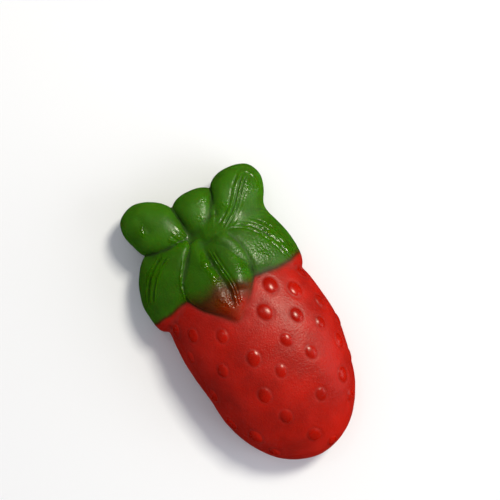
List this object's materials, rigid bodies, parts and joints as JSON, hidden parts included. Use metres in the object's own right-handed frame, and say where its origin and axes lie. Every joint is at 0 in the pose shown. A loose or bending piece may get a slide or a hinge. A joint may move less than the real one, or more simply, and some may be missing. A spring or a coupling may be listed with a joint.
{
  "type": "strawberry-shaped jelly sweet",
  "caption": "Moulded fruit-jelly sweet in the shape of a strawberry: domed red berry with raised seeds and a green leaf crown, lying on its gently rounded back.",
  "frame": {"origin": "on the flat resting face of the back, halfway along the sweet", "axes": "+Y from the berry's tip to the leaf crown, +Z off the moulded front, +X to the right of the front seen with the crown up"},
  "size_m": [0.0277, 0.0484, 0.0134],
  "materials": {
    "red_jelly": "translucent red jelly, oiled to a soft gloss",
    "green_jelly": "translucent green jelly, oiled to a soft gloss"
  },
  "bodies": {
    "root": {"berry": "red_jelly", "leaf_crown": "green_jelly"}
  },
  "joints": []
}
